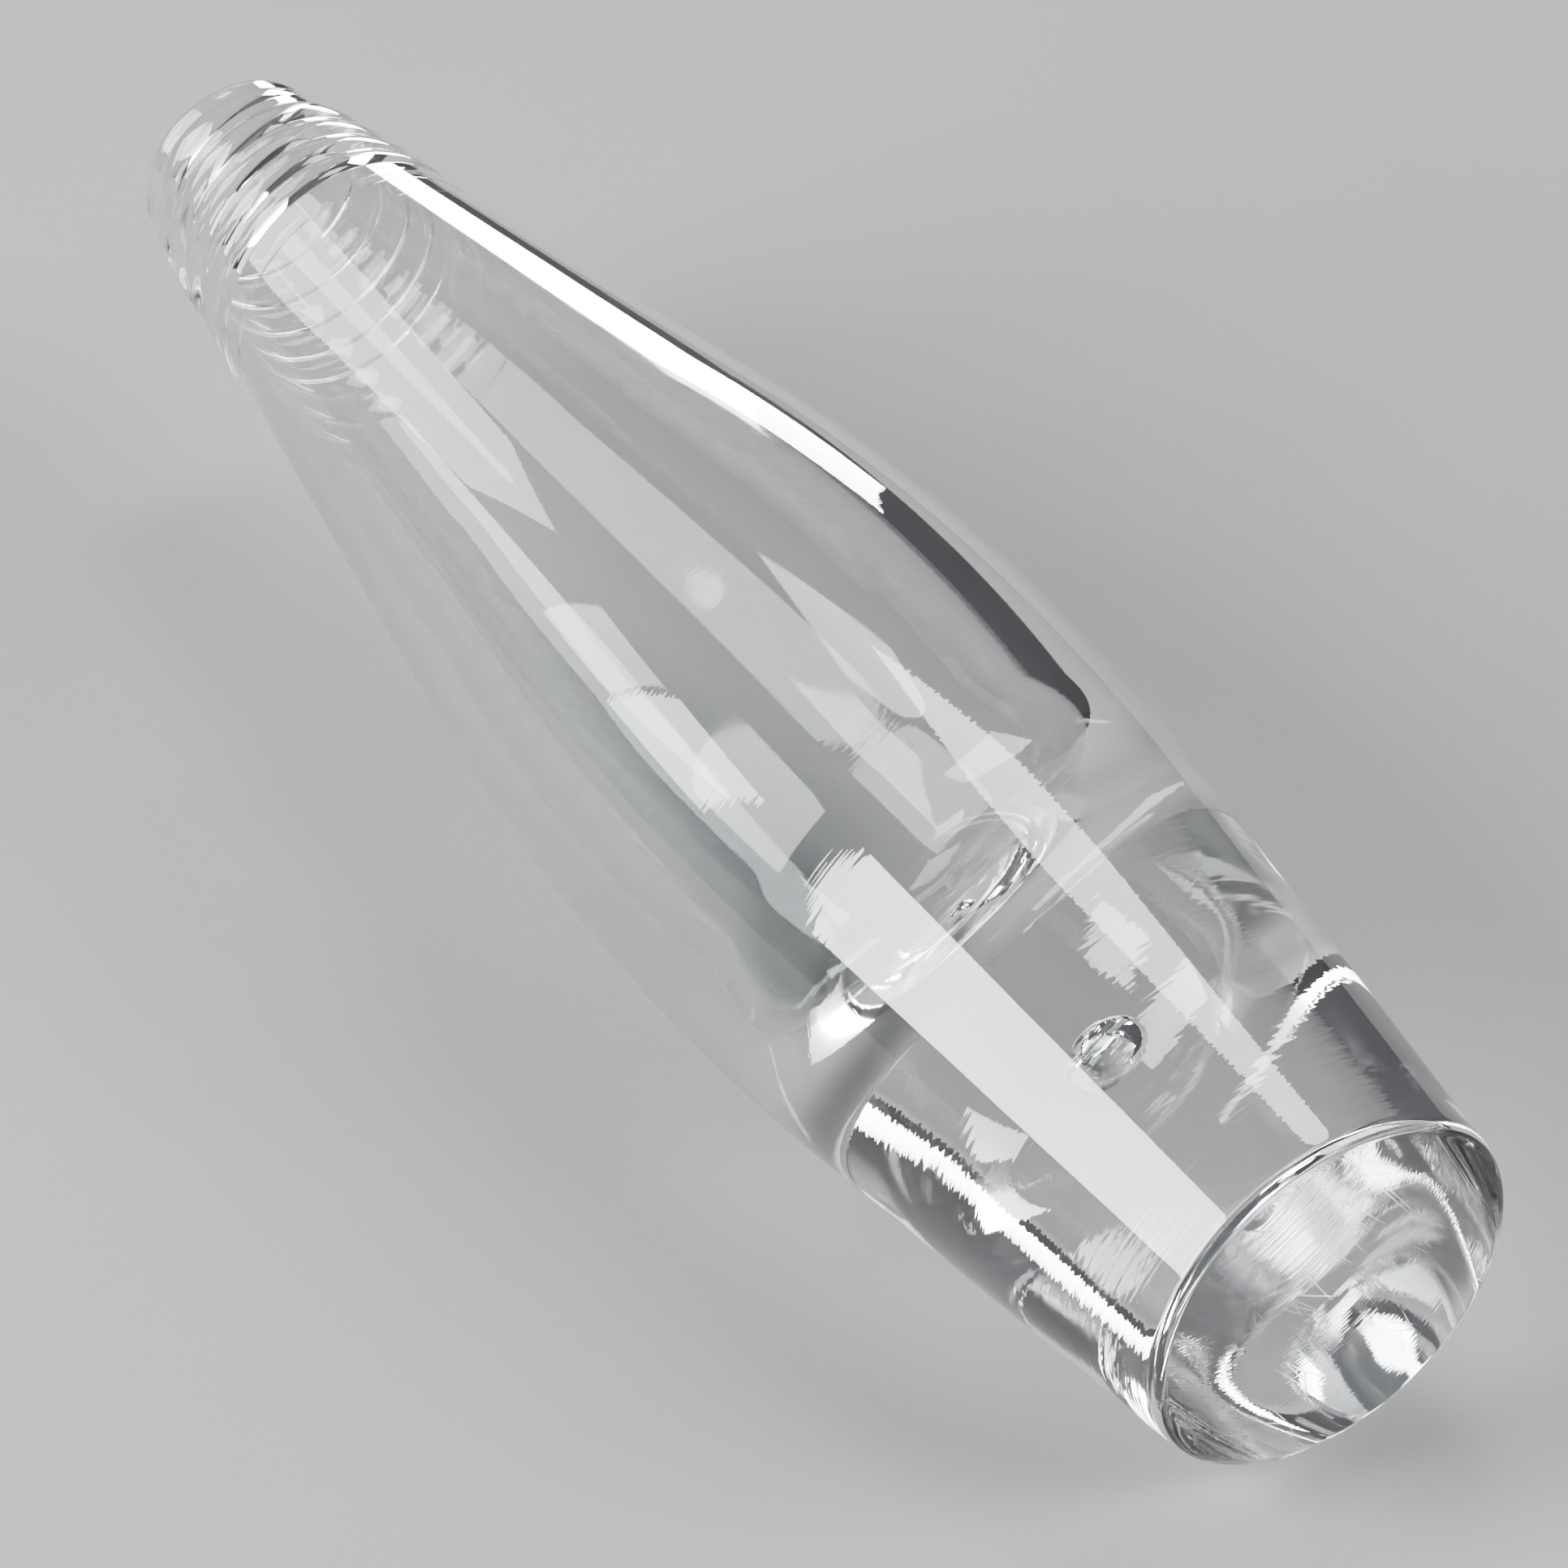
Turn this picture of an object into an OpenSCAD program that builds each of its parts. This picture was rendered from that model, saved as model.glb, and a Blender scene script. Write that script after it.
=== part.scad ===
// Thick-walled clear crystal vase: a solid foot, a blown vessel above it and a glass
// trail wound round the neck. Millimetres, +Z up, origin at the centre of the base face.

/* [Overall] */
// Height from the base face to the top of the lip
vase_h = 300; // [260:1:340]

/* [Foot] */
// Radius that the foot's cone has at the base plane
foot_r = 29.4; // [26:0.1:32]
// Half angle of the foot's cone, which widens upwards
foot_taper = 6.6; // [5:0.1:8]
// Height at which the foot's cone runs into the belly
foot_cone_h = 78; // [70:1:86]
// Rounding of the polished edge round the base face
foot_edge_r = 2.2; // [1:0.1:3]
// Height of the fused seam between the foot and the vessel
seam_h = 62; // [50:1:66]

/* [Seed bubble] */
// Diameter of the trapped bubble
bubble_d = 7.6; // [3:0.1:9]
// Length of the bubble along the vase
bubble_len = 9.6; // [4:0.1:12]
// Height of the bubble's middle
bubble_h = 48; // [25:0.5:50]
// Distance of the bubble from the vase's axis
bubble_off = 1.2; // [0:0.1:12]
// Direction of the bubble from the axis
bubble_angle = 71; // [0:1:359]

/* [Vessel] */
// Radius of the arc that the belly's outline follows
belly_arc_r = 375; // [320:5:420]
// Half angle of the neck's cone, which narrows upwards
neck_taper = 9.7; // [9:0.1:10.2]
// Rounding of the lip's outer edge
lip_outer_r = 2.6; // [1.5:0.1:3]
// Rounding of the lip's inner edge
lip_inner_r = 1.4; // [0.8:0.1:1.6]

/* [Cavity] */
// Height of the cavity's rounded floor
cavity_floor_h = 74.5; // [68:0.5:80]
// Radius of the cavity's rounded floor
cavity_floor_r = 29; // [27:0.5:31]
// Largest radius of the cavity
cavity_max_r = 31.6; // [31.2:0.1:33]
// Radius of the arc that the cavity's widest stretch follows
cavity_arc_r = 300; // [250:5:350]
// Half angle of the cavity's cone towards the mouth
cavity_taper = 7.9; // [7.5:0.1:8.3]

/* [Neck trail] */
// Number of turns of the wound trail
trail_turns = 5; // [3:0.25:5]
// Height of the trail's middle where it starts
trail_start_h = 260.5; // [258:0.5:261]
// Direction in which the trail starts
trail_start_angle = 10; // [0:1:359]
// Rise of the trail's first turn
trail_first_pitch = 5.4; // [5:0.1:5.6]
// Growth of the rise from one turn to the next
trail_pitch_growth = 0.65; // [0.4:0.05:0.7]
// Width of the flattened trail as a share of the local rise
trail_fill = 0.86; // [0.6:0.02:0.9]
// How far the trail stands proud of the neck
trail_proud = 0.75; // [0.4:0.05:1]

/* [Hidden] */

arc_steps = 40;            // points along each long arc of an outline
edge_steps = 8;            // points along each small rounding
trail_steps_per_turn = 30; // rings of the trail's sweep in one turn
trail_section_steps = 6;   // spans across the trail's rounded face
trail_fade_turns = 0.35;   // length of the thin tail at each end of the trail
trail_tail = 0.12;         // share of its full section that a tail's tip keeps
$fn = 180;

// Belly: one arc that leaves the foot's cone and meets the neck's cone without a kink.
belly_mid_h = foot_cone_h + belly_arc_r * sin(foot_taper);
belly_r = foot_r + foot_cone_h * tan(foot_taper) + belly_arc_r * (1 - cos(foot_taper));
belly_top_h = belly_mid_h + belly_arc_r * sin(neck_taper);
belly_top_r = belly_r - belly_arc_r * (1 - cos(neck_taper));

// Cavity: a round floor inside the widest arc, then a cone to the mouth.
floor_mid_h = cavity_floor_h + cavity_floor_r;
arc_gap = cavity_arc_r - cavity_floor_r;
arc_back = cavity_arc_r - cavity_max_r;
cavity_mid_h = floor_mid_h + sqrt(arc_gap * arc_gap - arc_back * arc_back);
cavity_join_a = atan2(floor_mid_h - cavity_mid_h, arc_back);
cavity_top_h = cavity_mid_h + cavity_arc_r * sin(cavity_taper);
cavity_top_r = cavity_max_r - cavity_arc_r * (1 - cos(cavity_taper));

function foot_cone_r(z) = foot_r + z * tan(foot_taper);
function neck_cone_r(z) = belly_top_r - (z - belly_top_h) * tan(neck_taper);
function cavity_cone_r(z) = cavity_top_r - (z - cavity_top_h) * tan(cavity_taper);

// Points of an arc of radius r about [x, z], from angle a0 to angle a1.
function arc(x, z, r, a0, a1, steps) =
    [for (i = [0:steps]) let (a = a0 + (a1 - a0) * i / steps) [x + r * cos(a), z + r * sin(a)]];

// How far inside a cone's end the middle of a rounding of radius r lies, where the cone and
// the flat end meet at an obtuse angle (lean above 0) or a sharp one (lean below 0).
function rounding_inset(r, lean) = r * (1 - sin(lean)) / cos(lean);

module ellipsoid(d, len) {
    rotate_extrude()
        polygon([for (i = [0:arc_steps]) let (a = -90 + 180 * i / arc_steps)
            [d / 2 * cos(a), len / 2 * sin(a)]]);
}

module bubble() {
    rotate(bubble_angle)
        translate([bubble_off, 0, bubble_h])
            ellipsoid(bubble_d, bubble_len);
}

module solid_foot() {
    edge_x = foot_r - rounding_inset(foot_edge_r, foot_taper);
    color("aliceblue")
        difference() {
            rotate_extrude()
                polygon([
                    [0, 0],
                    for (p = arc(edge_x, foot_edge_r, foot_edge_r, -90, -foot_taper, edge_steps)) p,
                    [foot_cone_r(seam_h), seam_h],
                    [0, seam_h]
                ]);
            bubble();
        }
}

module vessel() {
    lip_h = vase_h - lip_outer_r;
    lip_x = neck_cone_r(vase_h) - rounding_inset(lip_outer_r, neck_taper);
    inner_h = vase_h - lip_inner_r;
    inner_x = cavity_cone_r(vase_h) + rounding_inset(lip_inner_r, -cavity_taper);
    color("azure")
        rotate_extrude()
            polygon([
                [0, seam_h],
                [foot_cone_r(seam_h), seam_h],
                for (p = arc(belly_r - belly_arc_r, belly_mid_h, belly_arc_r,
                             -foot_taper, neck_taper, arc_steps)) p,
                for (p = arc(lip_x, lip_h, lip_outer_r, neck_taper, 90, edge_steps)) p,
                for (p = arc(inner_x, inner_h, lip_inner_r, 90, 180 + cavity_taper, edge_steps)) p,
                for (p = arc(cavity_max_r - cavity_arc_r, cavity_mid_h, cavity_arc_r,
                             cavity_taper, cavity_join_a, arc_steps)) p,
                for (p = arc(0, floor_mid_h, cavity_floor_r, cavity_join_a, -90, arc_steps)) p
            ]);
}

// Height and local rise of the trail after t turns.
function trail_h(t) = trail_start_h
    + (trail_first_pitch - trail_pitch_growth / 2) * t + trail_pitch_growth / 2 * t * t;
function trail_rise(t) = trail_first_pitch + trail_pitch_growth * (t - 0.5);

// Share of the full section at t turns: a smooth tail at each end.
function trail_share(t) =
    let (s = min(1, t / trail_fade_turns, (trail_turns - t) / trail_fade_turns))
    trail_tail + (1 - trail_tail) * s * s * (3 - 2 * s);

// One ring of the trail's sweep: a flat back on the neck's cone and a rounded face outside.
function trail_ring(t) =
    let (
        share = trail_share(t),
        half_w = trail_rise(t) * trail_fill / 2 * sqrt(share),
        proud = trail_proud * share,
        a = trail_start_angle + 360 * t,
        flat = 1 / cos(180 / trail_steps_per_turn)
    )
    [for (i = [0:trail_section_steps])
        let (
            w = -cos(180 * i / trail_section_steps),
            z = trail_h(t) + half_w * w,
            r = neck_cone_r(z) * flat + proud * (1 - w * w)
        )
        [r * cos(a), r * sin(a), z]];

module neck_trail() {
    rings = round(trail_turns * trail_steps_per_turn);
    n = trail_section_steps + 1;
    points = [for (k = [0:rings]) for (p = trail_ring(trail_turns * k / rings)) p];
    sides = [
        for (k = [0:rings - 1]) for (i = [0:n - 1])
            let (a = k * n + i, b = k * n + (i + 1) % n)
            each [[a, b, b + n], [a, b + n, a + n]]
    ];
    first_cap = [for (i = [0:n - 1]) n - 1 - i];
    last_cap = [for (i = [0:n - 1]) rings * n + i];
    color("white")
        polyhedron(points = points, faces = concat(sides, [first_cap, last_cap]), convexity = 10);
}

solid_foot();
vessel();
neck_trail();
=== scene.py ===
"""A thick-walled clear crystal vase with a solid foot and a glass trail wound round its neck."""

import math

import bmesh
import bpy
from mathutils import Matrix, Vector


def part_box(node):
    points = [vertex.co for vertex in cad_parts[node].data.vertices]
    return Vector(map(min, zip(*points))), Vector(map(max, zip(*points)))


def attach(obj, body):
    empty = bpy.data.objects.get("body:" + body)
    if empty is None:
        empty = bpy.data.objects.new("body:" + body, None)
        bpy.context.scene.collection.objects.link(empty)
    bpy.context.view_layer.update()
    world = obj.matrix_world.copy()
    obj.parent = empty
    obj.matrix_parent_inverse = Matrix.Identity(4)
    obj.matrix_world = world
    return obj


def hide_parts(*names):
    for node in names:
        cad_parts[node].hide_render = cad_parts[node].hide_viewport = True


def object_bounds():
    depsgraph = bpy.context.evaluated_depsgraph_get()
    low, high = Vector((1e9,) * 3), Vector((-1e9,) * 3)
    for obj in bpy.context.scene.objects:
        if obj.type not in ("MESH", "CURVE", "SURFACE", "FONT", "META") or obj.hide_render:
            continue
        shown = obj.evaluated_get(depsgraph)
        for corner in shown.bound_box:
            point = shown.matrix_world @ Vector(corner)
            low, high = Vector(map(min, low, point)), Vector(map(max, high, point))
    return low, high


MM = 0.001
DEG = math.radians(1)

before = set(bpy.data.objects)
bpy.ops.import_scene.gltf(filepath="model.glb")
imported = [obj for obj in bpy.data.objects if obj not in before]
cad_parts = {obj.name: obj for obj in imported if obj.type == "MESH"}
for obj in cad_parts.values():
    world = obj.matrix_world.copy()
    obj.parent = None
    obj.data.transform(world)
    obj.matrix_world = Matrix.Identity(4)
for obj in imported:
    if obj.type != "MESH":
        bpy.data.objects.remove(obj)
cad_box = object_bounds()

# ---------------------------------------------------------------- camera

EYE = Vector((0.1554, -0.9109, -0.6074))  # below the base face, which it looks up at
LOOK = Vector((-0.1357, 0.7695, 0.6241)).normalized()
SIDE = Vector((0.6331, 0.5519, -0.5428)).normalized()
RISE = SIDE.cross(LOOK)
LENS, SENSOR = 186.34, 36.0
NEAR, FAR = 0.05, 20.0


def make_camera():
    """A long lens that looks at the base face and along the vase as it lies on its side."""
    data = bpy.data.cameras.new("camera")
    data.lens = LENS
    data.sensor_width = SENSOR
    data.clip_start = NEAR
    data.clip_end = FAR
    camera = bpy.data.objects.new("camera", data)
    turn = Matrix((SIDE, RISE, -LOOK)).transposed()
    camera.matrix_world = Matrix.Translation(EYE) @ turn.to_4x4()
    bpy.context.collection.objects.link(camera)
    bpy.context.scene.camera = camera


make_camera()

# ---------------------------------------------------------------- sizes, in metres and radians

VASE_H = cad_box[1][2]
STEPS = 256  # faces round the vase
BUBBLE_STEPS = 64

# the foot's cone, whose radius at the base plane leans outwards, and its polished edge
FOOT_R, FOOT_LEAN, FOOT_EDGE = 29.4 * MM, 6.6 * DEG, 2.2 * MM
CONE_H = 78 * MM
SEAM_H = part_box("solid_foot")[1][2]

# the belly's arc, the neck's cone and the lip's two roundings
BELLY_ARC, NECK_LEAN = 375 * MM, 9.7 * DEG
LIP_OUT, LIP_IN = 2.6 * MM, 1.4 * MM

# the cavity: a round floor, the widest arc and a cone to the mouth
FLOOR_H, FLOOR_R = 74.5 * MM, 29 * MM
CAVITY_R, CAVITY_ARC, CAVITY_LEAN = 31.6 * MM, 300 * MM, 7.9 * DEG

# the trapped bubble: half its width and length, then its place off the axis, way and height
BUBBLE_R, BUBBLE_LONG = 3.8 * MM, 4.8 * MM
BUBBLE_OFF, BUBBLE_WAY, BUBBLE_H = 1.2 * MM, 71 * DEG, 48 * MM

# the trail: where it starts, its turns and their rise, its section and its thin ends
TRAIL_H, TRAIL_TURNS, TRAIL_FROM = 260.5 * MM, 5.0, 10 * DEG
TRAIL_RISE, TRAIL_GROWTH = 5.4 * MM, 0.65 * MM
TRAIL_FILL, TRAIL_PROUD, TRAIL_FADE = 0.86, 0.75 * MM, 0.35
TRAIL_LOW, TRAIL_TOP = 256.5 * MM, 297.2 * MM
TRAIL_SKIN = 0.02 * MM  # the trail's glass between two turns

WAVE = 0.06 * MM  # how far the blown surface wanders inwards
WAVE_SCALE = 26.0
LEAST_WAVED_R = 4 * MM
ONE_POINT = 0.0002 * MM  # points closer than this are one
ON_PLANE = 0.01 * MM
LEVEL = 0.98  # the least upward share of a level face's normal
CREASE = 35 * DEG

BELLY_H = CONE_H + BELLY_ARC * math.sin(FOOT_LEAN)
BELLY_R = FOOT_R + CONE_H * math.tan(FOOT_LEAN) + BELLY_ARC * (1 - math.cos(FOOT_LEAN))
NECK_H = BELLY_H + BELLY_ARC * math.sin(NECK_LEAN)
NECK_R = BELLY_R - BELLY_ARC * (1 - math.cos(NECK_LEAN))

FLOOR_MID = FLOOR_H + FLOOR_R
ARC_GAP, ARC_BACK = CAVITY_ARC - FLOOR_R, CAVITY_ARC - CAVITY_R
CAVITY_MID = FLOOR_MID + math.sqrt(ARC_GAP**2 - ARC_BACK**2)
JOIN = math.atan2(FLOOR_MID - CAVITY_MID, ARC_BACK)
CAVITY_TOP_H = CAVITY_MID + CAVITY_ARC * math.sin(CAVITY_LEAN)
CAVITY_TOP_R = CAVITY_R - CAVITY_ARC * (1 - math.cos(CAVITY_LEAN))


def foot_cone(z):
    return FOOT_R + z * math.tan(FOOT_LEAN)


def neck_cone(z):
    return NECK_R - (z - NECK_H) * math.tan(NECK_LEAN)


def cavity_cone(z):
    return CAVITY_TOP_R - (z - CAVITY_TOP_H) * math.tan(CAVITY_LEAN)


def inset(r, lean):
    """How far inside a leaning wall's end the middle of a rounding of radius r lies."""
    return r * (1 - math.sin(lean)) / math.cos(lean)


def arc(x, z, r, a0, a1, steps):
    """Points of an arc of radius r about (x, z)."""
    turns = [a0 + (a1 - a0) * i / steps for i in range(steps + 1)]
    return [(x + r * math.cos(a), z + r * math.sin(a)) for a in turns]


def line(p, q, steps):
    """The points after p on the way to q, q included."""
    shares = [(i + 1) / steps for i in range(steps)]
    return [(p[0] + (q[0] - p[0]) * s, p[1] + (q[1] - p[1]) * s) for s in shares]


def foot_outline():
    edge_x = FOOT_R - inset(FOOT_EDGE, FOOT_LEAN)
    edge = arc(edge_x, FOOT_EDGE, FOOT_EDGE, -90 * DEG, -FOOT_LEAN, steps=14)
    middle, rim, seam_middle = (0, 0), (foot_cone(SEAM_H), SEAM_H), (0, SEAM_H)
    return [
        middle, *line(middle, edge[0], steps=24), *edge[1:],
        *line(edge[-1], rim, steps=60), *line(rim, seam_middle, steps=4),
    ]


def vessel_outline():
    """Out along the seam, up the outside, over the lip and down the cavity to its floor."""
    seam_middle, rim = (0, SEAM_H), (foot_cone(SEAM_H), SEAM_H)
    low, top = (neck_cone(TRAIL_LOW), TRAIL_LOW), (neck_cone(TRAIL_TOP), TRAIL_TOP)
    lip_x = neck_cone(VASE_H) - inset(LIP_OUT, NECK_LEAN)
    inner_x = cavity_cone(VASE_H) + inset(LIP_IN, -CAVITY_LEAN)
    down = 180 * DEG + CAVITY_LEAN
    belly = arc(BELLY_R - BELLY_ARC, BELLY_H, BELLY_ARC, -FOOT_LEAN, NECK_LEAN, steps=80)
    lip = arc(lip_x, VASE_H - LIP_OUT, LIP_OUT, NECK_LEAN, 90 * DEG, steps=14)
    inner = arc(inner_x, VASE_H - LIP_IN, LIP_IN, 90 * DEG, down, steps=12)
    wall = arc(CAVITY_R - CAVITY_ARC, CAVITY_MID, CAVITY_ARC, CAVITY_LEAN, JOIN, steps=44)
    floor = arc(0, FLOOR_MID, FLOOR_R, JOIN, -90 * DEG, steps=40)
    return [
        seam_middle, *line(seam_middle, rim, steps=4),
        *line(rim, belly[0], steps=10), *belly[1:],
        *line(belly[-1], low, steps=36), *line(low, top, steps=20), *lip,
        *inner[1:], *line(inner[-1], wall[0], steps=40), *wall[1:],
        *floor[1:-1], (0, FLOOR_H),
    ]


def trail_outline():
    """A closed outline: up the outside of the wound zone and back down on the neck."""
    low, top = (neck_cone(TRAIL_LOW), TRAIL_LOW), (neck_cone(TRAIL_TOP), TRAIL_TOP)
    outside = [(x + TRAIL_SKIN, z) for x, z in line(low, top, steps=260)[:-1]]
    return [low, *outside, top, *line(top, low, steps=20)]


def bubble_outline():
    half_round = arc(0, 0, 1, -90 * DEG, 90 * DEG, steps=32)
    return [(BUBBLE_R * x, BUBBLE_LONG * z) for x, z in half_round]


# ---------------------------------------------------------------- geometry nodes


class Tree:
    """A small helper that makes nodes and joins them."""

    def __init__(self, tree):
        self.tree = tree

    def node(self, kind, settings=None, **sockets):
        made = self.tree.nodes.new(kind)
        for name, value in (settings or {}).items():
            setattr(made, name, value)
        for name, value in sockets.items():
            self.feed(made.inputs[name.replace("_", " ")], value)
        return made

    def feed(self, socket, value):
        if isinstance(value, bpy.types.NodeSocket):
            self.tree.links.new(value, socket)
        else:
            socket.default_value = value

    def math(self, operation, *values):
        made = self.tree.nodes.new("ShaderNodeMath")
        made.operation = operation
        for socket, value in zip(made.inputs, values):
            self.feed(socket, value)
        return made.outputs[0]

    def ranged(self, value, low, high, to_low=0.0, to_high=1.0, smooth=False):
        made = self.tree.nodes.new("ShaderNodeMapRange")
        made.interpolation_type = "SMOOTHSTEP" if smooth else "LINEAR"
        for socket, item in zip(made.inputs, (value, low, high, to_low, to_high)):
            self.feed(socket, item)
        return made.outputs[0]

    def split(self, vector):
        return self.node("ShaderNodeSeparateXYZ", Vector=vector).outputs

    def join(self, x, y, z):
        return self.node("ShaderNodeCombineXYZ", X=x, Y=y, Z=z).outputs[0]


def new_group(name, inputs, result):
    """A Geometry Nodes tree with these named inputs, each a kind and a first value."""
    group = bpy.data.node_groups.new(name, "GeometryNodeTree")
    for title, (kind, value) in inputs.items():
        made = group.interface.new_socket(title, in_out="INPUT", socket_type="NodeSocket" + kind)
        if value is not None:
            made.default_value = value
    group.interface.new_socket(result, in_out="OUTPUT", socket_type="NodeSocketGeometry")
    return group, Tree(group), group.nodes.new("NodeGroupInput").outputs


def close_group(group, result):
    end = group.nodes.new("NodeGroupOutput")
    group.links.new(result, end.inputs[0])


def turned_places(t, given, wide):
    """Where each point of a grid, wide points to a row, goes when its row turns about Z."""
    index = t.node("GeometryNodeInputIndex").outputs[0]
    row = t.math("FLOOR", t.math("DIVIDE", t.math("ADD", index, 0.5), wide))
    column = t.math("SUBTRACT", index, t.math("MULTIPLY", row, wide))
    picked = t.node("GeometryNodeSampleIndex", {"data_type": "FLOAT_VECTOR"},
                    Geometry=given["Outline"], Index=row,
                    Value=t.node("GeometryNodeInputPosition").outputs[0])
    x, _, z = t.split(picked.outputs[0])
    # the last column goes exactly where the first one does
    before_last = t.math("LESS_THAN", t.math("ADD", column, 0.5), given["Steps"])
    angle = t.math("DIVIDE", t.math("MULTIPLY", column, math.tau), given["Steps"])
    angle = t.math("MULTIPLY", before_last, angle)
    return x, t.join(t.math("MULTIPLY", x, t.math("COSINE", angle)),
                     t.math("MULTIPLY", x, t.math("SINE", angle)), z)


def waved_places(t, given, radius, place):
    """The same places, pulled towards the axis by a soft noise."""
    noise = t.node("ShaderNodeTexNoise", {"noise_dimensions": "3D"}, Vector=place,
                   Scale=WAVE_SCALE, Detail=2.0, Roughness=0.4).outputs[0]
    share = t.math("DIVIDE", t.math("MULTIPLY", noise, given["Wave"]),
                   t.math("MAXIMUM", radius, LEAST_WAVED_R))
    pull = t.math("SUBTRACT", 1.0, share)
    x, y, z = t.split(place)
    return t.join(t.math("MULTIPLY", x, pull), t.math("MULTIPLY", y, pull), z)


def outward_share(t, x, y):
    """Above 0 where a face looks away from the Z axis, below 0 where it looks at it."""
    facing = t.split(t.node("GeometryNodeInputNormal").outputs[0])
    return t.math("ADD", t.math("MULTIPLY", facing[0], x), t.math("MULTIPLY", facing[1], y))


def clad_faces(t, given, mesh):
    """Gives the base face, the inner wall and the fused faces their own materials."""
    x, y, z = t.split(t.node("GeometryNodeInputPosition").outputs[0])
    lift = t.split(t.node("GeometryNodeInputNormal").outputs[0])[2]
    turned_out = outward_share(t, x, y)
    level = t.math("GREATER_THAN", t.math("ABSOLUTE", lift), LEVEL)
    at_seam = t.math("COMPARE", z, given["Fused Height"], ON_PLANE)
    above = t.math("GREATER_THAN", z, given["Fused From"])
    below = t.math("LESS_THAN", z, given["Fused To"])
    wrapped = t.math("MULTIPLY", t.math("GREATER_THAN", turned_out, 0.0),
                     t.math("MULTIPLY", above, below))
    choices = {
        "Base Face": t.math("MULTIPLY", level, t.math("LESS_THAN", z, ON_PLANE)),
        "Inner Wall": t.math("LESS_THAN", turned_out, 0.0),
        "Fused Face": t.math("MAXIMUM", t.math("MULTIPLY", level, at_seam), wrapped),
    }
    for name, chosen in choices.items():
        mesh = t.node("GeometryNodeSetMaterial", Geometry=mesh, Selection=chosen,
                      Material=given[name]).outputs[0]
    return mesh


def lathe_tree():
    """Turns the outline held by the object's own points about Z, and adds a slight wave."""
    group, t, given = new_group("lathe", {
        "Outline": ("Geometry", None), "Outline Points": ("Int", 2), "Steps": ("Int", STEPS),
        "Wave": ("Float", 0.0), "Glass": ("Material", None), "Base Face": ("Material", None),
        "Inner Wall": ("Material", None), "Fused Face": ("Material", None),
        "Fused Height": ("Float", -1.0), "Fused From": ("Float", -1.0), "Fused To": ("Float", -1.0),
    }, "Turned")
    wide = t.math("ADD", given["Steps"], 1)
    grid = t.node("GeometryNodeMeshGrid", Vertices_X=given["Outline Points"], Vertices_Y=wide)
    radius, place = turned_places(t, given, wide)
    placed = t.node("GeometryNodeSetPosition", Geometry=grid.outputs[0],
                    Position=waved_places(t, given, radius, place))
    merged = t.node("GeometryNodeMergeByDistance", Geometry=placed.outputs[0], Distance=ONE_POINT)
    facing_out = t.node("GeometryNodeFlipFaces", Mesh=merged.outputs[0])
    smooth = t.node("GeometryNodeSetShadeSmooth", Geometry=facing_out.outputs[0])
    real = t.node("GeometryNodeRealizeInstances", Geometry=smooth.outputs[0])
    whole = t.node("GeometryNodeSetMaterial", Geometry=real.outputs[0], Material=given["Glass"])
    close_group(group, clad_faces(t, given, whole.outputs[0]))
    return group


def set_inputs(modifier, values):
    """Sets a tree's named inputs by their identifiers."""
    sockets = {s.name: s.identifier for s in modifier.node_group.interface.items_tree
               if s.item_type == "SOCKET" and s.in_out == "INPUT"}
    for name, value in values.items():
        modifier[sockets[name]] = value


def points_object(name, outline):
    mesh = bpy.data.meshes.new(name)
    mesh.from_pydata([(x, 0, z) for x, z in outline],
                     [(i, i + 1) for i in range(len(outline) - 1)], [])
    made = bpy.data.objects.new(name, mesh)
    bpy.context.collection.objects.link(made)
    return made


def shape_by(made, group, values):
    """Makes what a tree gives for an object into the object's own plain mesh."""
    modifier = made.modifiers.new(group.name, "NODES")
    modifier.node_group = group
    set_inputs(modifier, values)
    graph = bpy.context.evaluated_depsgraph_get()
    mesh = bpy.data.meshes.new_from_object(made.evaluated_get(graph), depsgraph=graph)
    made.modifiers.clear()
    drop_empty_slot(mesh)
    old = made.data
    made.data = mesh
    mesh.name = made.name
    bpy.data.meshes.remove(old)


def drop_empty_slot(mesh):
    """Takes out the grid's own first slot, which holds no material and no faces."""
    if mesh.materials and mesh.materials[0] is None:
        places = [face.material_index - 1 for face in mesh.polygons]
        mesh.materials.pop(index=0)
        mesh.polygons.foreach_set("material_index", places)


def volume(mesh):
    work = bmesh.new()
    work.from_mesh(mesh)
    size = work.calc_volume(signed=True)
    work.free()
    return size


LATHE = lathe_tree()


def turned(name, outline, values, inward=False):
    """A closed piece turned from an outline, its faces pointing out, or in for a void."""
    made = points_object(name, outline)
    shape_by(made, LATHE, {"Outline Points": len(outline), "Steps": STEPS, "Wave": 0.0, **values})
    if (volume(made.data) < 0) != inward:
        made.data.flip_normals()
    made.data.set_sharp_from_angle(angle=CREASE)
    return made


# ---------------------------------------------------------------- materials

CRYSTAL_IOR = 1.54
RING_DEPTH = 0.009 * MM
RINGS_PER_METRE = 900
SCRATCH_DEPTH = 0.004 * MM
SCRATCH_HAZE = 0.35
SCRATCH_RUNS = ((0.5, 160), (1.25, 110), (2.2, 140), (2.75, 90))  # direction, closeness
SCRATCH_STRETCH = 22
SCRATCH_WIDTH = 0.014


def new_material(name):
    material = bpy.data.materials.new(name)
    material.use_nodes = True
    material.node_tree.nodes.clear()
    return material, Tree(material.node_tree)


def fused_face():
    """Where two pieces are melted into one there is no surface to see."""
    material, t = new_material("fused_seam")
    shader = t.node("ShaderNodeBsdfPrincipled", Base_Color=(1, 1, 1, 1), Roughness=0.0,
                    IOR=CRYSTAL_IOR, Alpha=0.0)
    t.node("ShaderNodeOutputMaterial", Surface=shader.outputs[0])
    return material


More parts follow.
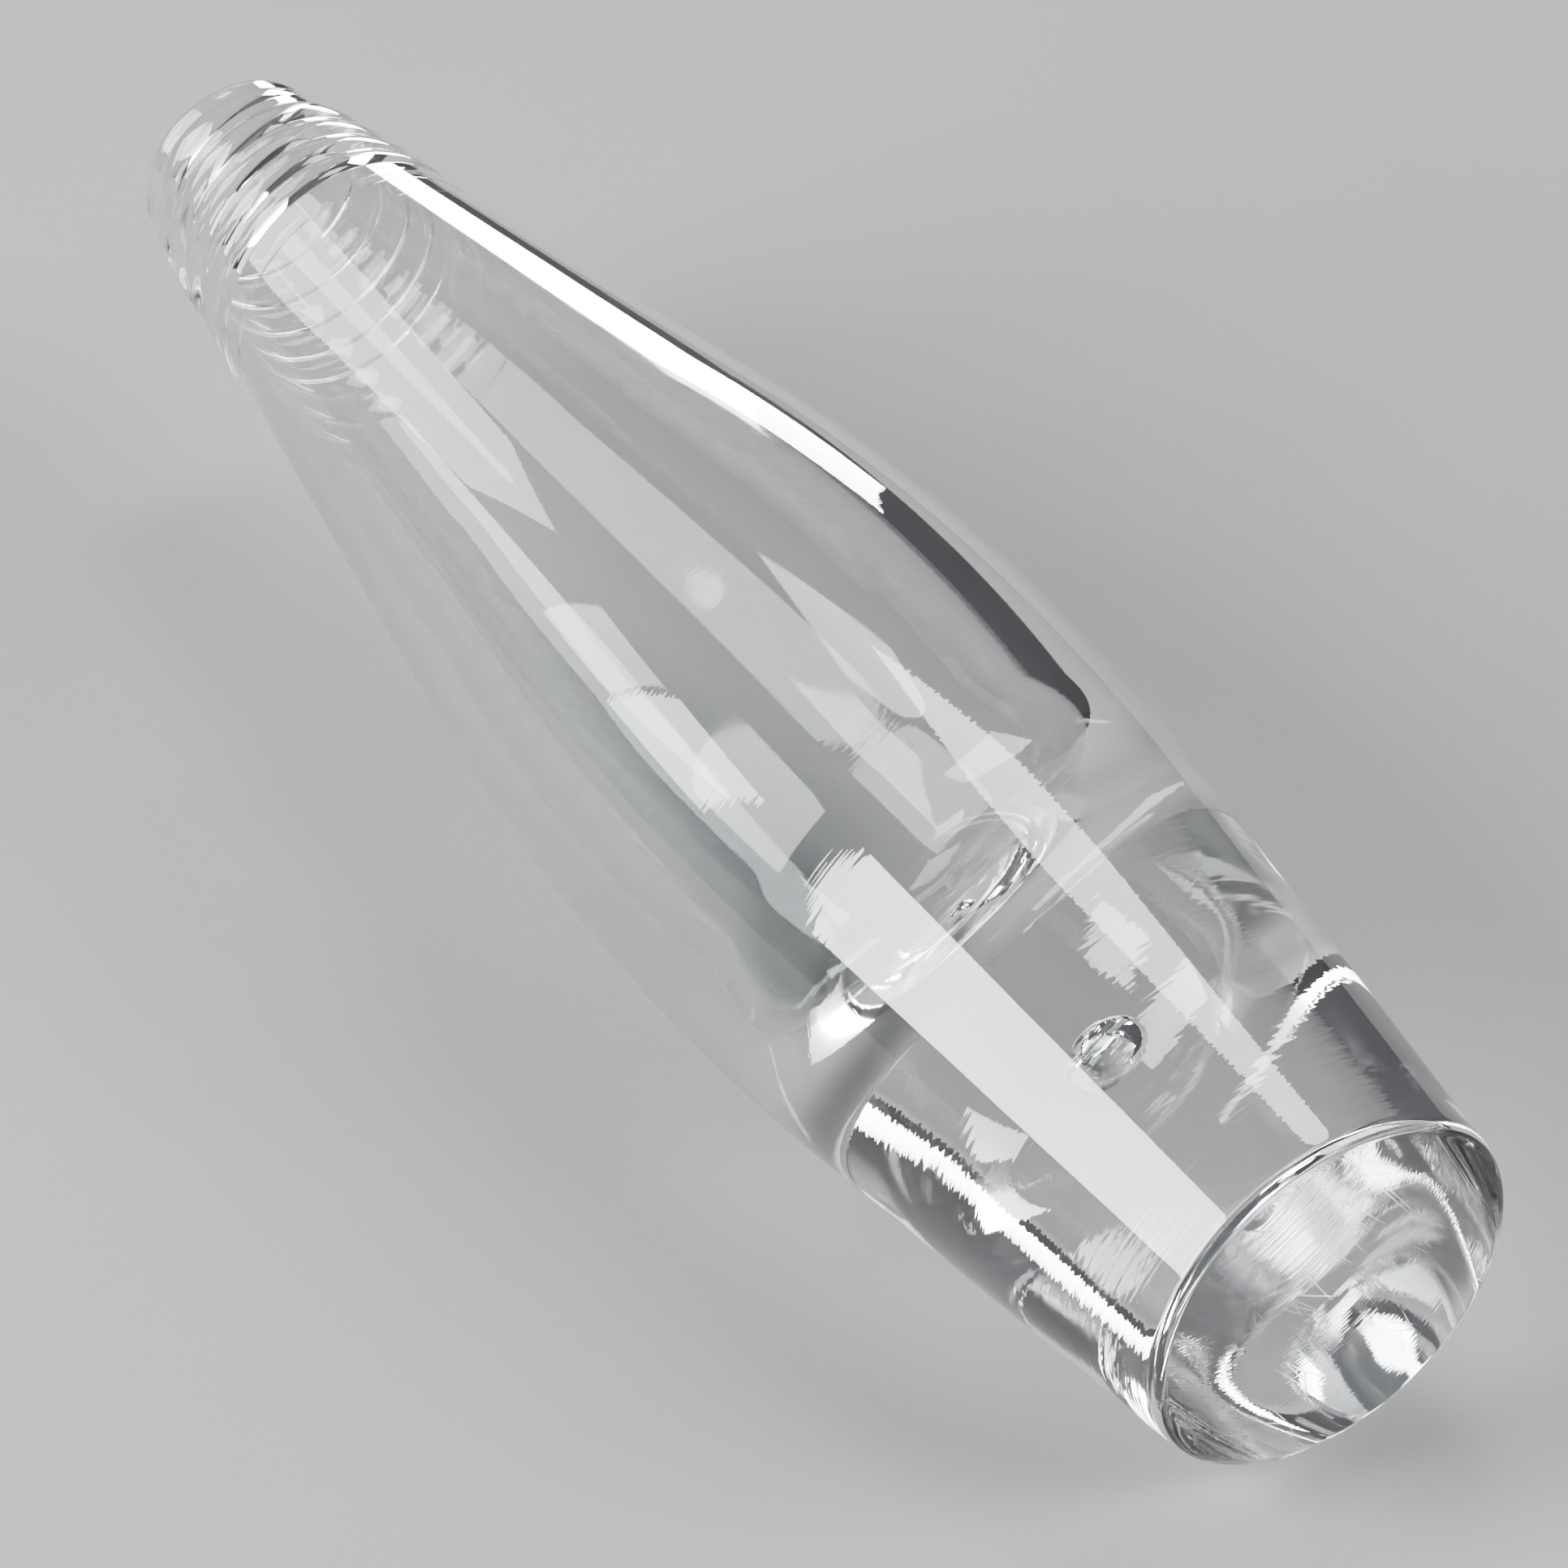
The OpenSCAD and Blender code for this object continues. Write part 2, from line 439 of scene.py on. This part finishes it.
def crystal(name, tint, haze=(0.0, 0.02), rings=0.0, worn_off=None, scratched=False):
    """Clear crystal with a few smears. It may have fine turning rings or hairline scratches."""
    material, t = new_material(name)
    place = t.node("ShaderNodeTexCoord").outputs["Object"]
    shader = t.node("ShaderNodeBsdfPrincipled", Base_Color=tint, Roughness=0.0,
                    IOR=CRYSTAL_IOR, Transmission_Weight=1.0)
    rough, height = 0.0, None
    if haze:
        smear = t.node("ShaderNodeTexNoise", Vector=place, Scale=60.0, Detail=2.0,
                       Roughness=0.65).outputs[0]
        rough = t.ranged(smear, 0.4, 0.7, *haze)
    if rings:
        height = t.math("MULTIPLY", turning_rings(t, place, worn_off), rings)
    if scratched:
        marks = hairlines(t, place)
        rough = t.math("ADD", rough, t.math("MULTIPLY", marks, SCRATCH_HAZE))
        height = t.math("MULTIPLY", marks, -SCRATCH_DEPTH)
    if height is not None:
        bump = t.node("ShaderNodeBump", Height=height, Strength=1.0, Distance=1.0)
        t.feed(shader.inputs["Normal"], bump.outputs[0])
    t.feed(shader.inputs["Roughness"], rough)
    t.node("ShaderNodeOutputMaterial", Surface=shader.outputs[0])
    return material


def turning_rings(t, place, worn_off=None):
    """Fine rings round the axis, left by the block and the polishing wheel.

    Where the heights worn_off are given, the rings fade to a fifth between them."""
    height = t.split(place)[2]
    fine = t.node("ShaderNodeTexNoise", {"noise_dimensions": "1D"},
                  W=t.math("MULTIPLY", height, RINGS_PER_METRE), Scale=1.0, Detail=1.0,
                  Roughness=0.6).outputs[0]
    if worn_off:
        share = t.ranged(height, *worn_off, 1.0, 0.2)
    else:
        worn = t.node("ShaderNodeTexNoise", Vector=place, Scale=40.0, Detail=1.0).outputs[0]
        share = t.ranged(worn, 0.35, 0.65, 0.3, 1.0)
    return t.math("MULTIPLY", fine, share)


def hairlines(t, place):
    """Long thin scratches in a few directions, from 0 beside them to 1 along them."""
    found = 0.0
    for turn, closeness in SCRATCH_RUNS:
        aimed = t.node("ShaderNodeMapping", Vector=place, Rotation=(0, 0, turn),
                       Location=(turn, turn, 0), Scale=(closeness, SCRATCH_STRETCH, 1))
        veins = t.node("ShaderNodeTexVoronoi", {"feature": "DISTANCE_TO_EDGE",
                                                "voronoi_dimensions": "2D"},
                       Vector=aimed.outputs[0], Scale=1.0).outputs[0]
        found = t.math("MAXIMUM", t.ranged(veins, 0.0, SCRATCH_WIDTH, 1.0, 0.0), found)
    patch = t.node("ShaderNodeTexNoise", Vector=place, Scale=90.0, Detail=1.0).outputs[0]
    return t.math("MULTIPLY", found, t.ranged(patch, 0.48, 0.6))


FUSED = fused_face()
FOOT_TINT, VESSEL_TINT = (0.94, 0.957, 0.965, 1), (0.935, 0.953, 0.962, 1)
FOOT_GLASS = crystal("cut_foot_glass", FOOT_TINT, rings=RING_DEPTH)
BASE_GLASS = crystal("base_face_glass", FOOT_TINT, scratched=True)
VESSEL_GLASS = crystal("blown_vessel_glass", VESSEL_TINT, rings=RING_DEPTH,
                       worn_off=(SEAM_H, 2.5 * SEAM_H))
CAVITY_GLASS = crystal("cavity_wall_glass", VESSEL_TINT, haze=(0.01, 0.06))
TRAIL_GLASS = crystal("wound_trail_glass", (0.96, 0.97, 0.975, 1))
BUBBLE_GLASS = crystal("bubble_wall_glass", FOOT_TINT, haze=None)

# ---------------------------------------------------------------- the vase

foot = turned("foot_glass", foot_outline(),
              {"Wave": WAVE, "Glass": FOOT_GLASS, "Base Face": BASE_GLASS,
               "Inner Wall": FOOT_GLASS, "Fused Face": FUSED, "Fused Height": SEAM_H})
bubble = turned("bubble", bubble_outline(),
                {"Steps": BUBBLE_STEPS, "Glass": BUBBLE_GLASS, "Inner Wall": BUBBLE_GLASS,
                 "Base Face": BUBBLE_GLASS, "Fused Face": FUSED}, inward=True)
bubble.data.transform(Matrix.Translation((BUBBLE_OFF * math.cos(BUBBLE_WAY),
                                          BUBBLE_OFF * math.sin(BUBBLE_WAY), BUBBLE_H)))


def joined(into, other):
    """Adds the other object's faces, with their materials, to a piece."""
    slots = list(into.data.materials)
    for material in other.data.materials:
        if material not in slots:
            slots.append(material)
            into.data.materials.append(material)
    places = [slots.index(m) for m in other.data.materials]
    work = bmesh.new()
    work.from_mesh(into.data)
    before = len(work.faces)
    work.from_mesh(other.data)
    work.faces.ensure_lookup_table()
    for face in work.faces[before:]:
        face.material_index = places[face.material_index]
    work.to_mesh(into.data)
    work.free()
    mesh = other.data
    bpy.data.objects.remove(other)
    bpy.data.meshes.remove(mesh)


joined(foot, bubble)

vessel = turned("vessel_glass", vessel_outline(),
                {"Wave": WAVE, "Glass": VESSEL_GLASS, "Base Face": VESSEL_GLASS,
                 "Inner Wall": CAVITY_GLASS, "Fused Face": FUSED,
                 "Fused Height": SEAM_H, "Fused From": TRAIL_LOW, "Fused To": TRAIL_TOP})


def turn_count(t, given, z):
    """The turns made at a height, from z = start + b n + g n n / 2 for the first rise and growth."""
    growth = given["Rise Growth"]
    b = t.math("SUBTRACT", given["First Rise"], t.math("MULTIPLY", growth, 0.5))
    over = t.math("MULTIPLY", t.math("SUBTRACT", z, given["Start Height"]),
                  t.math("MULTIPLY", growth, 2.0))
    root = t.math("SQRT", t.math("MAXIMUM", t.math("ADD", t.math("MULTIPLY", b, b), over), 0.0))
    return t.math("DIVIDE", t.math("SUBTRACT", root, b), growth)


def ridge_height(t, given, x, y, z):
    """How far the trail stands proud at a place: rounded across it and thin at its two ends."""
    angle = t.math("DIVIDE", t.math("SUBTRACT", t.math("ARCTAN2", y, x), given["Start Angle"]),
                   math.tau)
    angle = t.math("FRACT", t.math("ADD", angle, 1.0))
    phase = t.math("SUBTRACT", turn_count(t, given, z), angle)
    nearest = t.math("ROUND", phase)
    across = t.math("DIVIDE", t.math("MULTIPLY", t.math("SUBTRACT", phase, nearest), 2.0),
                    given["Fill"])
    here = t.math("ADD", nearest, angle)
    ends = t.math("MINIMUM", here, t.math("SUBTRACT", given["Turns"], here))
    share = t.ranged(t.math("DIVIDE", ends, given["Fade Turns"]), 0.0, 1.0, smooth=True)
    across = t.math("DIVIDE", across, t.math("SQRT", t.math("MAXIMUM", share, 1e-4)))
    ridge = t.math("MAXIMUM", t.math("SUBTRACT", 1.0, t.math("MULTIPLY", across, across)), 0.0)
    return t.math("MULTIPLY", t.math("MULTIPLY", ridge, share), given["Proud"])


def winding_tree():
    """Raises the ridges of a trail that winds up a neck, higher at each turn than the last."""
    sizes = {
        "Start Height": TRAIL_H, "Start Angle": TRAIL_FROM, "Turns": TRAIL_TURNS,
        "First Rise": TRAIL_RISE, "Rise Growth": TRAIL_GROWTH, "Fill": TRAIL_FILL,
        "Proud": TRAIL_PROUD, "Fade Turns": TRAIL_FADE, "Neck Radius": neck_cone(0),
        "Neck Slope": math.tan(NECK_LEAN), "Skin": TRAIL_SKIN,
    }
    group, t, given = new_group("winding", {
        "Sleeve": ("Geometry", None), "Glass": ("Material", None),
        **{name: ("Float", value) for name, value in sizes.items()},
    }, "Wound")
    x, y, z = t.split(t.node("GeometryNodeInputPosition").outputs[0])
    away = t.math("SQRT", t.math("ADD", t.math("MULTIPLY", x, x), t.math("MULTIPLY", y, y)))
    neck = t.math("SUBTRACT", given["Neck Radius"], t.math("MULTIPLY", z, given["Neck Slope"]))
    outside = t.math("GREATER_THAN", t.math("SUBTRACT", away, neck),
                     t.math("MULTIPLY", given["Skin"], 0.5))
    raised = t.math("MULTIPLY", ridge_height(t, given, x, y, z), outside)
    grown = t.math("ADD", 1.0, t.math("DIVIDE", raised, away))
    moved = t.node("GeometryNodeSetPosition", Geometry=given["Sleeve"],
                   Position=t.join(t.math("MULTIPLY", x, grown), t.math("MULTIPLY", y, grown), z))
    real = t.node("GeometryNodeRealizeInstances", Geometry=moved.outputs[0])
    looks_out = t.math("GREATER_THAN", outward_share(t, x, y), 0.0)
    clad = t.node("GeometryNodeSetMaterial", Geometry=real.outputs[0], Selection=looks_out,
                  Material=given["Glass"])
    close_group(group, clad.outputs[0])
    return group


WINDING = winding_tree()
trail = turned("trail_glass", trail_outline(),
               {"Glass": TRAIL_GLASS, "Base Face": FUSED, "Inner Wall": FUSED,
                "Fused Face": FUSED})
shape_by(trail, WINDING, {"Glass": TRAIL_GLASS})

for piece, node, slot in ((foot, "solid_foot", "foot_crystal"),
                          (vessel, "vessel", "vessel_crystal"),
                          (trail, "neck_trail", "trail_crystal")):
    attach(piece, "root")
    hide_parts(node)

# ---------------------------------------------------------------- floor and light

UP = Vector((0.690, -0.7205, 0.0718)).normalized()  # away from the floor the vase lies on
REST_ON = Vector((-27.6, 28.8, 94.5)) * MM  # where the belly touches the floor
FLOOR_RADIUS, FLOOR_CORNERS = 0.5, 64
FLOOR_GAP = 0.2 * MM
FLOOR_DARK, FLOOR_LIGHT = (0.235, 0.235, 0.235, 1), (0.26, 0.26, 0.258, 1)
SKY_LOW, SKY_HIGH, SKY_BLUE = 0.06, 0.14, 1.06
LAMP_DISTANCE = 1.3
WALL_TURNS, SEAM_CROSSINGS = 28, 24
AWAY = (LOOK + UP * -LOOK.dot(UP)).normalized()
RIGHT = AWAY.cross(UP)


def on_stage(right, away, up):
    """A point given from where the belly rests: to the right, away and up, in metres."""
    return REST_ON + RIGHT * right + AWAY * away + UP * up


def pale_floor():
    material, t = new_material("pale_floor")
    place = t.node("ShaderNodeTexCoord").outputs["Object"]
    cloud = t.node("ShaderNodeTexNoise", Vector=place, Scale=9.0, Detail=3.0).outputs[0]
    tone = t.node("ShaderNodeMix", {"data_type": "RGBA"})
    t.feed(tone.inputs[0], cloud)
    t.feed(tone.inputs[6], FLOOR_DARK)
    t.feed(tone.inputs[7], FLOOR_LIGHT)
    paper = t.node("ShaderNodeBsdfDiffuse", Color=tone.outputs[2])
    clear = t.node("ShaderNodeBsdfTransparent")
    behind = t.node("ShaderNodeNewGeometry").outputs["Backfacing"]
    mixed = t.node("ShaderNodeMixShader", Fac=behind)
    t.feed(mixed.inputs[1], paper.outputs[0])
    t.feed(mixed.inputs[2], clear.outputs[0])
    t.node("ShaderNodeOutputMaterial", Surface=mixed.outputs[0])
    return material


def make_floor():
    """A round floor under the belly, seen from above only."""
    turns = [math.tau * i / FLOOR_CORNERS for i in range(FLOOR_CORNERS)]
    corners = [on_stage(FLOOR_RADIUS * math.cos(a), FLOOR_RADIUS * math.sin(a), -FLOOR_GAP)
               for a in turns]
    mesh = bpy.data.meshes.new("floor")
    mesh.from_pydata(corners, [], [list(range(FLOOR_CORNERS))])
    mesh.materials.append(pale_floor())
    floor = bpy.data.objects.new("floor", mesh)
    bpy.context.collection.objects.link(floor)
    mesh.update()
    if mesh.polygons[0].normal.dot(UP) < 0:
        mesh.flip_normals()


def softbox(name, azimuth, height, wide, tall, radiance, tone=(1, 1, 1)):
    """A soft lamp seen from the vase at these angles, in degrees, and that large."""
    a, e = azimuth * DEG, height * DEG
    out = LAMP_DISTANCE * math.cos(e)
    at = on_stage(out * math.sin(a), out * math.cos(a), LAMP_DISTANCE * math.sin(e))
    light = bpy.data.lights.new(name, "AREA")
    light.shape = "RECTANGLE"
    light.size = 2 * LAMP_DISTANCE * math.tan(wide * DEG / 2)
    light.size_y = 2 * LAMP_DISTANCE * math.tan(tall * DEG / 2)
    light.energy = radiance * math.pi * light.size * light.size_y
    light.color = tone
    made = bpy.data.objects.new(name, light)
    back = (at - on_stage(0, 0, 0)).normalized()
    across = UP.cross(back).normalized()
    turn = Matrix((across, back.cross(across), back)).transposed()
    made.matrix_world = Matrix.Translation(at) @ turn.to_4x4()
    made.visible_camera = False
    bpy.context.collection.objects.link(made)


def make_world():
    """A dim room, a little lighter overhead than at the floor's level."""
    world = bpy.data.worlds.new("studio")
    world.use_nodes = True
    world.node_tree.nodes.clear()
    t = Tree(world.node_tree)
    way = t.node("ShaderNodeTexCoord").outputs["Generated"]
    lift = t.node("ShaderNodeVectorMath", {"operation": "DOT_PRODUCT"}, Vector=way)
    lift.inputs[1].default_value = UP
    tone = t.ranged(lift.outputs["Value"], -0.2, 0.9, SKY_LOW, SKY_HIGH)
    colour = t.node("ShaderNodeCombineColor", Red=tone, Green=tone,
                    Blue=t.math("MULTIPLY", tone, SKY_BLUE))
    sky = t.node("ShaderNodeBackground", Color=colour.outputs[0], Strength=1.0)
    t.node("ShaderNodeOutputWorld", Surface=sky.outputs[0])
    bpy.context.scene.world = world


def let_light_travel():
    """Thick glass leads light along its walls, so a path may turn many times before it ends."""
    paths = bpy.context.scene.cycles
    paths.max_bounces = WALL_TURNS
    paths.transmission_bounces = WALL_TURNS
    paths.glossy_bounces = WALL_TURNS
    paths.transparent_max_bounces = SEAM_CROSSINGS


make_floor()
make_world()
let_light_travel()
bpy.context.scene.view_settings.look = "AgX - Medium High Contrast"

# azimuth, height, width and depth in degrees, then brightness and tone
softbox("left_front", -112, 29, 28, 36, 26.0)
softbox("left_window", -84, 22, 9, 18, 14.0)
softbox("left_back", -50, 18, 20, 24, 8.0, (0.95, 0.97, 1.0))
softbox("overhead", 5, 66, 16, 16, 14.0)
softbox("far_low", 5, 10, 18, 14, 38.0)
softbox("right", 112, 30, 32, 26, 21.0, (1.0, 0.97, 0.93))
